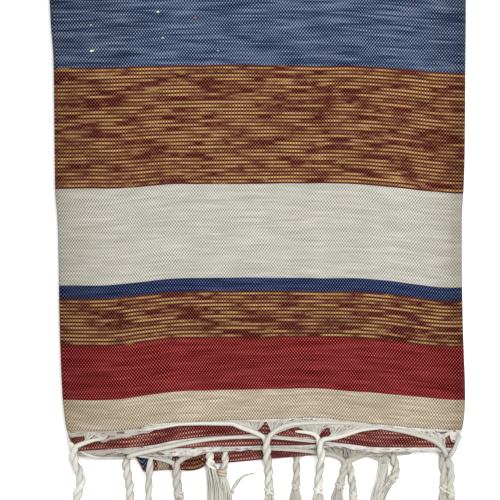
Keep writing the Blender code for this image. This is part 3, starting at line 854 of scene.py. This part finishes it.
def spunCotton(name, look):
    material, tree = newMaterial(name)
    add = partial(addNode, tree)
    place = add("Attribute", attribute_name="yarnPlace").outputs["Vector"]
    along, around, third = add("SeparateXYZ", [place]).outputs
    number = add("Math", [third], "FLOOR")     # a strand's own number, and how much painted shade the spot takes
    paintedShade = add("Math", [third], "FRACT")
    lay = add("Math", [along, look["strandsRound"] / look["strandLay"]], "MULTIPLY")
    spiral = add("Math", [around, look["strandsRound"], lay], "MULTIPLY_ADD")
    wobblePlace = add("CombineXYZ", [add("Math", [along, 0.35], "MULTIPLY"), number])
    wobble = add("TexNoise", {"Vector": wobblePlace, "Scale": 1.0, "Detail": 2.0})
    turn = add("Math", [add("Math", [spiral, wobble], "ADD"), 2 * pi], "MULTIPLY")
    wave = add("Math", [add("Math", [turn], "COSINE"), -0.5, 0.5], "MULTIPLY_ADD")
    fibrePlace = add("CombineXYZ", [along, add("Math", [spiral, 2.7], "MULTIPLY"), number])
    fibre = add("TexNoise", {"Vector": fibrePlace, "Scale": 1.6, "Detail": 3.0})
    tone = add("TexWhiteNoise", [number], noise_dimensions="1D")
    share = add("Math", [wave, 0.45, add("Math", [fibre, 0.7], "MULTIPLY")], "MULTIPLY_ADD")
    toned = add("Math", [tone, 0.3, add("Math", [share, 0.12], "SUBTRACT")], "MULTIPLY_ADD")
    # painted shade between the strands of a ply
    color = add("Mix", [toned, linearColor(look["grooveShade"]), linearColor(look["face"])], data_type="RGBA")
    held = linearColor(look["held"])
    # painted shade, multiplied in by the amount each corner carries
    color = add("Mix", [paintedShade, color, held], data_type="RGBA", blend_type="MULTIPLY")
    bump = add("Bump", {"Strength": 0.45, "Distance": 0.0003, "Height": share})
    shader = add("BsdfPrincipled", {
        "Base Color": color, "Roughness": 0.85, "IOR": 1.46, "Specular IOR Level": 0.2, "Normal": bump,
        "Sheen Weight": 0.1, "Sheen Roughness": 0.4,
    })
    add("OutputMaterial", [shader])
    return material


def anyLook(rng):  # one of the tones that yarns have
    return rng.randrange(fringe["looks"])


def gatheredRadius(cord, share, start=fringe["legStart"]):  # a leg grows from a few yarns to a whole ply
    return mixed(start, cord["size"] / 4 * fringe["wholeLeg"], min(1.0, share) ** 0.5)


def legRun(cord, leg):  # centre, radius and squeeze at each point of a leg
    spots = alongPath(leg, fringe["steps"]["leg"])
    start = cord.get("starts", (fringe["legStart"],) * 2)[0 if leg is cord["legs"][0] else 1]
    run = []
    for i, (x, below) in enumerate(spots):
        radius = gatheredRadius(cord, i / (len(spots) - 1), start)
        lowest, highest = roomAt(cord, x, below, radius)
        half = min(radius, max(fringe["thinnest"]["leg"], (highest - lowest) / 2))
        run.append(dict(x=x, below=below, radius=radius, low=lowest, half=half))
    return run


def routeRun(cord):  # the twisted part from its root to its tip
    spots = alongPath(cord["route"], fringe["steps"]["route"])
    quarter = cord["size"] / 4
    positions, floors, halves = distancesAlong(spots), [], []
    for x, below in spots:
        lowest, highest = roomAt(cord, x, below, cord["size"] / 2)
        floors.append(lowest)
        half = max(fringe["thinnest"]["route"], (highest - lowest) / 2)
        halves.append(min(quarter * fringe["thickest"], half))
    floors = softened(heldLevel(floors, positions, fringe["descent"]["route"]), 3)
    halves = softened(halves, 3)
    run = []
    for (x, below), at, low, half in zip(spots, positions, floors, halves):
        run.append(dict(x=x, below=below, at=at, middle=low + half, squeeze=half / (2 * quarter)))
    return run


def legHeights(cord, side, legSpots, top):  # a leg lies on what is below it and comes down to the root
    positions = [fringe["steps"]["leg"] * i for i in range(len(legSpots))]
    lows = heldLevel([spot["low"] for spot in legSpots], positions, fringe["descent"]["leg"])
    lows = softened(lows, 2)
    heights = []
    for i, spot in enumerate(legSpots):
        share = i / (len(legSpots) - 1)
        lying = lows[i] + spot["half"]
        hanging = max(lying, cord["height"] + 0.2) if spot["low"] > 0 else lying
        z = mixed(hanging, lying, smoothShare(0.0, 0.5, share))
        joined = mixed(z, top + side * 0.09 * cord["size"], smoothShare(0.8, 1.0, share) * 0.7)
        heights.append(max(joined, lying - 0.3))   # never far into what it lies on
    return heights


def addCord(shape, cord, seed):
    rng = random.Random(seed)
    quarter = cord["size"] / 4
    run = routeRun(cord)
    past = 1.0 if "loose" in cord else 3.0   # mm of twist hidden in the knot
    twisted = [spot for spot in run if spot["below"] <= cord["knot"] + past]
    top = twisted[0]["middle"]
    for side, leg in ((-1, cord["legs"][0]), (1, cord["legs"][1])):
        legSpots = legRun(cord, leg)
        points, radii, squeezes, axes, turns = [], [], [], [], []
        for spot, z in zip(legSpots, legHeights(cord, side, legSpots, top)):
            points.append((spot["x"], hemY - spot["below"], z * settle(spot["x"], hemY - spot["below"])))
            radii.append(spot["radius"])
            squeezes.append(spot["half"] / spot["radius"])
            axes.append(points[-1][2])
            turns.append(None)
        first = 0.5 if side > 0 else 0.5 + pi
        for i, spot in enumerate(twisted):
            before, after = twisted[max(i - 1, 0)], twisted[min(i + 1, len(twisted) - 1)]
            dx, dy = after["x"] - before["x"], before["below"] - after["below"]
            length = hypot(dx, dy) or 1.0
            turn = first + 2 * pi * spot["at"] / cord["turn"]
            offset = quarter * fringe["plyOffset"]
            x = spot["x"] + offset * cos(turn) * -dy / length
            y = hemY - spot["below"] + offset * cos(turn) * dx / length
            lift = settle(x, y)
            points.append((x, y, (spot["middle"] + offset * sin(turn)) * lift))
            radii.append(quarter * fringe["plyRadius"] * (1 + 0.05 * sin(spot["at"] * 1.3 + side)))
            squeezes.append(spot["squeeze"])
            axes.append(spot["middle"] * lift)
            turns.append(turn)
        # The helix is built round and then squeezed with its axis.
        look = anyLook(rng)
        # a given amount of painted shade over the whole cord
        leastShade = cord.get("leastShade", 0.0)
        addTube(shape, points, radii, fringe["plySides"], look, squeezes, axes, turns, leastShade=leastShade)
    addTassel(shape, cord, run, rng)
    return run, rng


def spotAt(run, below):
    return min(run, key=lambda spot: abs(spot["below"] - below))


def addKnot(shape, cord, run, rng, reach):  # the cord's end tied over itself: two bands across it
    knot, quarter = fringe["knot"], cord["size"] / 4
    bandRadius, wind = quarter * knot["bandRadius"], quarter * knot["windRadius"]
    points, axes = [], []
    for i in range(knot["steps"] + 1):
        share = i / knot["steps"]
        below = cord["knot"] + mixed(-reach, reach, share)
        spot = spotAt(run, below)
        turn = -2 * pi * knot["turns"] * share + knot["firstTurn"]
        tuck = 1 - knot["tuck"] * (smoothShare(0.12, 0.0, share) + smoothShare(0.88, 1.0, share))
        x = spot["x"] + wind * tuck * cos(turn)
        z = spot["middle"] + wind * tuck * sin(turn)
        points.append((x, hemY - below - knot["slant"] * cos(turn), z))
        axes.append(spot["middle"])
    room = spotAt(run, cord["knot"])["middle"] / (wind + bandRadius)   # down to the floor
    squeeze = min(knot["roundest"], room)
    points = [(x, y, axis + squeeze * (z - axis)) for (x, y, z), axis in zip(points, axes)]
    look = anyLook(rng)
    addTube(shape, points, [bandRadius] * len(points), 9, look, [squeeze] * len(points))


def addTassel(shape, cord, run, rng):  # loose yarns below the knot
    tassel = fringe["tassel"]
    foot = cord["knot"] + cord.get("tasselFrom", 1.0)
    knotSpot = spotAt(run, foot)
    for i in range(tassel["yarns"]):
        where = rng.uniform(-1, 1)
        startX = where * tassel["top"] * cord.get("loose", 1.0)
        endX = where * cord["spread"] / 2 + rng.uniform(-0.8, 0.8)
        level = rng.random()
        length = cord["tip"] - foot - rng.random() ** 2 * tassel["ragged"]
        bow = rng.uniform(-tassel["bow"], tassel["bow"])
        sway, phase = rng.uniform(*tassel["sway"]), rng.uniform(0, 6)
        points, radii = [], []
        for k in range(9):
            share = k / 8
            below = foot + length * share
            spot = spotAt(run, below)
            spread = 1 - (1 - share) ** 2.2
            x = spot["x"] + mixed(startX, endX, spread) + bow * sin(pi * share)
            x += sway * sin(phase + 7 * share)
            low = 0.3 + level * mixed(knotSpot["middle"] * 1.3, 1.5, smoothShare(0.0, 0.45, share))
            points.append((x, hemY - below, low))
            radii.append(mixed(*tassel["radii"], share))
        addTube(shape, points, radii, 4, anyLook(rng), shaded=0.1)


# the tie yarn's colours; the darker one is painted shade between its strands
tie = dict(
    face="#B9AE92", grooveShade="#8F8366", rounds=(-0.9, 0.8), halfWidth=2.7, radius=0.8, rise=1.1, slant=0.6,
)


def addTie(shape, cord, run):  # rounds of another yarn in place of a knot
    spot = spotAt(run, cord["knot"])
    for shift in tie["rounds"]:
        turns = [2 * pi * k / 24 for k in range(25)]
        points = [
            (spot["x"] + tie["halfWidth"] * cos(turn),
             hemY - cord["knot"] - shift - tie["slant"] * cos(turn),
             spot["middle"] * (1 + tie["rise"] * sin(turn))) for turn in turns
        ]
        addTube(shape, points, [tie["radius"]] * len(points), 8, 5, shaded=0.3)


def addStray(shape, path, rng):  # a few yarns that have strayed from a tassel
    stray = fringe["stray"]
    for i in range(stray["yarns"]):
        away = [rng.uniform(-1, 1) * width for width in stray["strewn"]]
        strewn = [(x + 0.6 * shift, below + shift) for (x, below), shift in zip(path, away)]
        spots = alongPath(strewn, fringe["steps"]["stray"])
        points = [(x, hemY - below, 0.5 + 0.12 * i) for x, below in spots]
        radii = [mixed(*stray["radii"], k / (len(spots) - 1)) for k in range(len(spots))]
        addTube(shape, points, radii, 5, anyLook(rng), shaded=0.22)


def addLump(shape, cord, rng):  # a slub in a cord's left leg
    spot = min(legRun(cord, cord["legs"][0]), key=lambda place: abs(place["x"] - cord["lumpX"]))
    height = spot["low"] + spot["half"]
    points = [(spot["x"] + dx, hemY - spot["below"] - dx * 0.6, height) for dx, radius in fringe["lump"]]
    addTube(shape, points, [radius for dx, radius in fringe["lump"]], 9, anyLook(rng))


def addFan(shape, cord, run, seed):  # single yarns from the header to the gathered leg
    rng = random.Random(seed)
    end, pitch = cord["end"], fringe["threadPitch"]
    for hand, (side, leg) in enumerate(zip((-1, 1), cord["legs"])):
        panel = cord.get("fanPanels", (cord["panel"],) * 2)[hand]
        spots = alongPath(leg, fringe["steps"]["fan"])
        marks = distancesAlong(spots)
        legSpots = legRun(cord, leg)
        heights = legHeights(cord, side, legSpots, run[0]["middle"])
        hole = cord.get("holes", (fringe["hole"],) * 2)[hand]
        farX, rootX = leg[0][0], cord["route"][0][0]
        holeX, apexX = rootX + side * hole, rootX + cord.get("apex", 0.0)
        count = max(1, int(abs(holeX - farX) / pitch))
        starts = [mixed(farX, holeX, (i + rng.uniform(0.2, 0.8)) / count) for i in range(count)]
        # Those beside the hole slant away from the root.
        slanting = max(0, int(side * (holeX - apexX) / pitch))
        slanting = cord.get("slanting", (slanting,) * 2)[hand]
        starts += [apexX + side * pitch * (i + rng.uniform(0.3, 0.7)) for i in range(slanting)]
        for i, x0 in enumerate(starts):
            depth = headerBelow(panel, end, x0) - hemBelow(panel, end, x0)
            edge = hemBelow(panel, end, x0) + mixed(0.4, max(depth - 0.3, 0.5), rng.random())
            nearest = nearestTo(spots, x0)
            reach = rng.uniform(*fringe["threadReach"])
            joined = nearest
            while joined < len(spots) - 1 and marks[joined] - marks[nearest] < reach:
                if abs(spots[joined][0] - rootX) < 0.7 * hole:
                    break
                joined += 1
            if i >= count:
                joined = nearestTo(spots, rootX + side * hole * rng.uniform(0.85, 1.3))
            middle, last = spots[nearest + (joined - nearest) // 3], spots[joined]
            if last[1] < edge:
                edge = last[1] - 0.2
            joinShare = joined / (len(spots) - 1)
            place = min(round(joinShare * (len(legSpots) - 1)), len(legSpots) - 1)
            lastZ = heights[place] + legSpots[place]["half"] * rng.uniform(-0.6, 0.3)
            shift = rng.uniform(-0.7, 0.7) * gatheredRadius(cord, joinShare)
            points = []
            for k in range(8):
                t = k / 7
                x = (1 - t) ** 2 * x0 + 2 * t * (1 - t) * middle[0] + t * t * last[0]
                held = mixed(middle[1], edge, 0.35)
                below = (1 - t) ** 2 * edge + 2 * t * (1 - t) * held + t * t * (last[1] + shift)
                z = mixed(layerHeight(panel, end) + 0.25, lastZ, t)
                points.append((x, hemY - below, z * settle(x, hemY - below)))
            thickness = fringe["threadRadius"] * rng.uniform(0.8, 1.25)
            addTube(shape, points, [thickness] * 8, 4, anyLook(rng), shaded=0.25)


def headerValue(slits):
    # Corner values: mm across, mm along, share from the left fold, and 2 more in a slit.
    def at(station, row, faceStation, faceRow):
        x = fittedX(faceStation["x"], hemY - 10)
        inSlit = any(
            faceStation["panel"] == panel and first <= x <= last and faceRow == slitRow
            for panel, first, last, slitRow in slits
        )
        return (station["u"], row * header["rowPitch"], station["share"] + (2.0 if inSlit else 0.0))

    return at


def headerPoint(end):
    outward = 1 if end == "beige" else -1

    def at(station, row, side):
        share = row / header["rows"]
        u = station["u"]
        ragged = 0.4 * sin(u * 0.31) * sin(u * 0.113 + 1) + 0.25 * sin(u * 1.9) + 0.2 * sin(u * 0.83 + 2)
        panel = station["panel"] or "front"
        below = mixed(-0.3, depthCurve[panel, end](station["share"]) + ragged, share)
        if end == "red" and panel == "innerRear":   # this hem is turned under
            below = -1.2 * share - 0.2
        return towelPoint(station, outward * halfPair + side * 0.26, hemY - station[end] - below)

    return at


# The header is the bare warp with a few white picks: thin and open, a cool white that painted shade
# turns warm grey at the left fold, with painted shade between the warp ends and thin slits of painted
# shade where the picks part.
header = dict(
    shadedLeftFace="#8E887B",
    face="#B9B4AF",
    gapShade="#7C7673",
    slitShade="#524549",
    pickPitch=1.3,       # mm
    endPitch=0.905,
    rows=4,
    rowPitch=0.9,        # mm
    slits=dict(          # longer slits: panel, x from, x to, which row of the header's depth
        beige=[("front", -102.5, -90.5, 2), ("front", -87.5, -82.0, 1), ("front", 22.5, 32.0, 0),
               ("front", 51.0, 62.5, 2), ("front", 64.0, 72.0, 1), ("front", 97.5, 109.5, 2),
               ("front", 108.0, 117.0, 1)],
        red=[("front", -96.0, -84.0, 3), ("front", -72.0, -58.0, 2), ("front", 47.0, 58.0, 3),
             ("front", 8.0, 20.0, 2), ("innerFront", -14.0, -3.0, 2), ("innerFront", -64.0, -52.0, 2)],
    ),
)


def looseHeader(name, look):
    material, tree = newMaterial(name)
    add = partial(addNode, tree)
    place = add("Attribute", attribute_name="flat").outputs["Vector"]
    across, along, third = add("SeparateXYZ", [place]).outputs
    wobble = add("TexNoise", {"Vector": place, "Scale": 0.3, "Detail": 2.0})
    wobbled = add("Math", [wobble, 5.0], "MULTIPLY")
    endTurn = add("Math", [across, 2 * pi / look["endPitch"], wobbled], "MULTIPLY_ADD")
    pickTurn = add("Math", [along, 2 * pi / look["pickPitch"]], "MULTIPLY")
    pickWave = add("Math", [add("Math", [pickTurn], "COSINE"), 0.12, 0.7], "MULTIPLY_ADD")
    height = add("Math", [add("Math", [endTurn], "COSINE"), 0.18, pickWave], "MULTIPLY_ADD")
    blotch = add("TexNoise", {"Vector": place, "Scale": 0.15, "Detail": 3.0}, normalize=False)
    share = add("Math", [blotch, 0.45, height], "MULTIPLY_ADD")
    # painted shade darkens the header towards the left fold
    rightShare = add("MapRange", [third, 0.1, 0.3, 0.0, 1.0])
    faces = linearColor(look["shadedLeftFace"]), linearColor(look["face"])
    face = add("Mix", [rightShare, *faces], data_type="RGBA")
    # painted shade between the warp ends
    color = add("Mix", [share, linearColor(look["gapShade"]), face], data_type="RGBA")
    slitPlace = add("CombineXYZ", [
        add("Math", [across, 0.16], "MULTIPLY"), add("Math", [along, 1.3], "MULTIPLY"),
    ])
    slitShade = add("TexNoise", {"Vector": slitPlace, "Scale": 1.0, "Detail": 2.0})
    inSlit = add("Math", [third, 1.5], "GREATER_THAN")
    slitShade = add("Math", [inSlit, 0.15, slitShade], "MULTIPLY_ADD")
    slitShade = add("MapRange", [slitShade, 0.58, 0.66, 0.0, 1.0])
    # painted shade in the slits where the picks part
    color = add("Mix", [slitShade, color, linearColor(look["slitShade"])], data_type="RGBA")
    bump = add("Bump", {"Strength": 0.5, "Distance": 0.0003, "Height": height})
    shader = add("BsdfPrincipled", {
        "Base Color": color, "Roughness": 0.9, "IOR": 1.46, "Specular IOR Level": 0.15, "Normal": bump,
        "Sheen Weight": 0.1,
    })
    add("OutputMaterial", [shader])
    return material


whiteYarn = spunCotton("ringSpunWhiteCotton", yarn)
# the red end's fringe is the same white warp, with its face darkened: painted shade
shadedWhiteYarn = spunCotton("ringSpunWhiteCottonInShade", dict(yarn, face="#C1BDB2"))
headerCotton = looseHeader("openWovenWhiteHeader", header)

fringePieces = []
tieShape = newShape()
for end, node, slotName, material in (
    ("beige", "fringe_beige_end", "white_yarn", whiteYarn),
    ("red", "fringe_red_end", "ecru_yarn", shadedWhiteYarn),
):
    shape = newShape()
    for number, cord in enumerate(cords[end]):
        run, rng = addCord(shape, cord, 100 + number)
        if "tied" in cord:
            addTie(tieShape, cord, run)
            addStray(shape, cord["stray"], rng)
        elif "tasselFrom" not in cord:
            addKnot(shape, cord, run, rng, cord.get("knotReach", fringe["knot"]["reach"]))
        if "lumpX" in cord:
            addLump(shape, cord, rng)
        addFan(shape, cord, run, 500 + number)
    piece = makePiece("fringe" + end.capitalize() + "End", shape, material, "yarnPlace")
    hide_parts(node)
    strip = newShape()
    slits = header["slits"][end]
    addSheet(strip, stations, range(header["rows"] + 1), headerPoint(end), headerValue(slits))
    headerPiece = makePiece("header" + end.capitalize() + "End", strip, headerCotton, "flat")
    fringePieces += [piece, headerPiece]
    print("fringe of the", end, "end made:", len(shape["faces"]), "faces")

# Bits of dyed lint caught on the front.
lint = dict(
    length=1.1,      # mm each way from its middle
    thickness=0.5,
    colors=dict(     # places as x, below and size
        yellowGreen=("#B4DE86", [(-101.5, -227.7, 1.3), (-60.8, -251.7, 1.0), (-102.1, -243.7, 0.6),
                                 (-57.7, -235.7, 0.7), (-23.8, -227.7, 0.5)]),
        madderRed=("#8E4A50", [(-37.9, -248.0, 1.0), (89.8, -251.1, 0.7), (42.3, -226.4, 0.7)]),
    ),
)
for colorName, (face, bits) in lint["colors"].items():
    shape, rng = newShape(), random.Random(7)
    for x, below, size in bits:
        top = (panelZ["front"] + halfPair + towel["clothThickness"] / 2) * settle(x, hemY - below)
        half, tilt = lint["length"] * size, rng.uniform(0.0, 0.5)
        places = (-1.0, -0.4, 0.4, 1.0)
        spots = [(x + half * t, hemY - below + tilt * half * t, top + 0.2) for t in places]
        radii = [lint["thickness"] * size * share for share in (0.3, 1.0, 0.9, 0.25)]
        addTube(shape, spots, radii, 6, 3, shaded=0.2)
    cottonLint = spunCotton(colorName + "CottonLint", dict(yarn, face=face, grooveShade=face))
    piece = makePiece("lint" + colorName[0].upper() + colorName[1:], shape, cottonLint, "yarnPlace")
    fringePieces.append(piece)

beigeYarn = spunCotton("ringSpunBeigeCotton", dict(yarn, face=tie["face"], grooveShade=tie["grooveShade"]))
tiePiece = makePiece("tasselTie", tieShape, beigeYarn, "yarnPlace")
fringePieces.append(tiePiece)
print("lint and tie made")


# Floor, light, camera.

studio = dict(
    floorColors=("#F6F6F4", "#FBFBFA"),
    floorSize=6.0,
    floorZ=-0.0002,       # just clear of the cloth
    worldColor="#FFFFFF",
    worldStrength=0.95,
    keyPlace=(0.55, 0.15, 2.3),
    keySize=1.3,
    keyPower=60.0,
    fillPlace=(-1.1, -0.7, 2.0),
    fillSize=2.0,
    fillPower=8.0,
    lightsAt=(0, -0.25, 0),
    lens=170.0,
    sensor=36.0,
    view=(-4.0, -358.1, 308.5),   # mm: the middle of the frame and its width
    viewZ=0.011,                  # m: the height at which it has that width
)


def paintedBoard(name, look):  # matt white painted board: even, with the faintest mottle
    material, tree = newMaterial(name)
    add = partial(addNode, tree)
    place = add("TexCoord").outputs["Object"]
    mottle = add("TexNoise", {"Vector": place, "Scale": 9.0, "Detail": 3.0})
    color = add("Mix", [mottle, *(linearColor(face) for face in look["floorColors"])], data_type="RGBA")
    shader = add("BsdfPrincipled", {"Base Color": color, "Roughness": 0.95, "Specular IOR Level": 0.1})
    add("OutputMaterial", [shader])
    return material


floorMesh = bpy.data.meshes.new("floor")
half = studio["floorSize"] / 2
corners = [(x * half, y * half, studio["floorZ"]) for x, y in ((-1, -1), (1, -1), (1, 1), (-1, 1))]
floorMesh.from_pydata(corners, [], [(0, 1, 2, 3)])
floorMesh.materials.append(paintedBoard("mattPaintedBoard", studio))
floor = bpy.data.objects.new("floor", floorMesh)
bpy.context.scene.collection.objects.link(floor)


def addLight(name, place, size, power):
    data = bpy.data.lights.new(name, "AREA")
    data.shape, data.size, data.energy = "DISK", size, power
    light = bpy.data.objects.new(name, data)
    light.location = place
    aim = Vector(studio["lightsAt"]) - Vector(place)
    light.rotation_euler = aim.to_track_quat("-Z", "Y").to_euler()
    bpy.context.scene.collection.objects.link(light)


addLight("keyLight", studio["keyPlace"], studio["keySize"], studio["keyPower"])
addLight("fillLight", studio["fillPlace"], studio["fillSize"], studio["fillPower"])

world = bpy.data.worlds.new("studioWorld")
world.use_nodes = True
background = world.node_tree.nodes["Background"]
background.inputs[0].default_value = linearColor(studio["worldColor"])
background.inputs[1].default_value = studio["worldStrength"]
scene = bpy.context.scene
scene.world = world
scene.view_settings.view_transform = "Standard"

cameraData = bpy.data.cameras.new("camera")
cameraData.lens = studio["lens"]
cameraData.sensor_width = studio["sensor"]
camera = bpy.data.objects.new("camera", cameraData)
middleX, middleY, frameWidth = (number * mm for number in studio["view"])
camera.location = (middleX, middleY, frameWidth * studio["lens"] / studio["sensor"] + studio["viewZ"])
scene.collection.objects.link(camera)
scene.camera = camera
print("floor, lights and camera made")
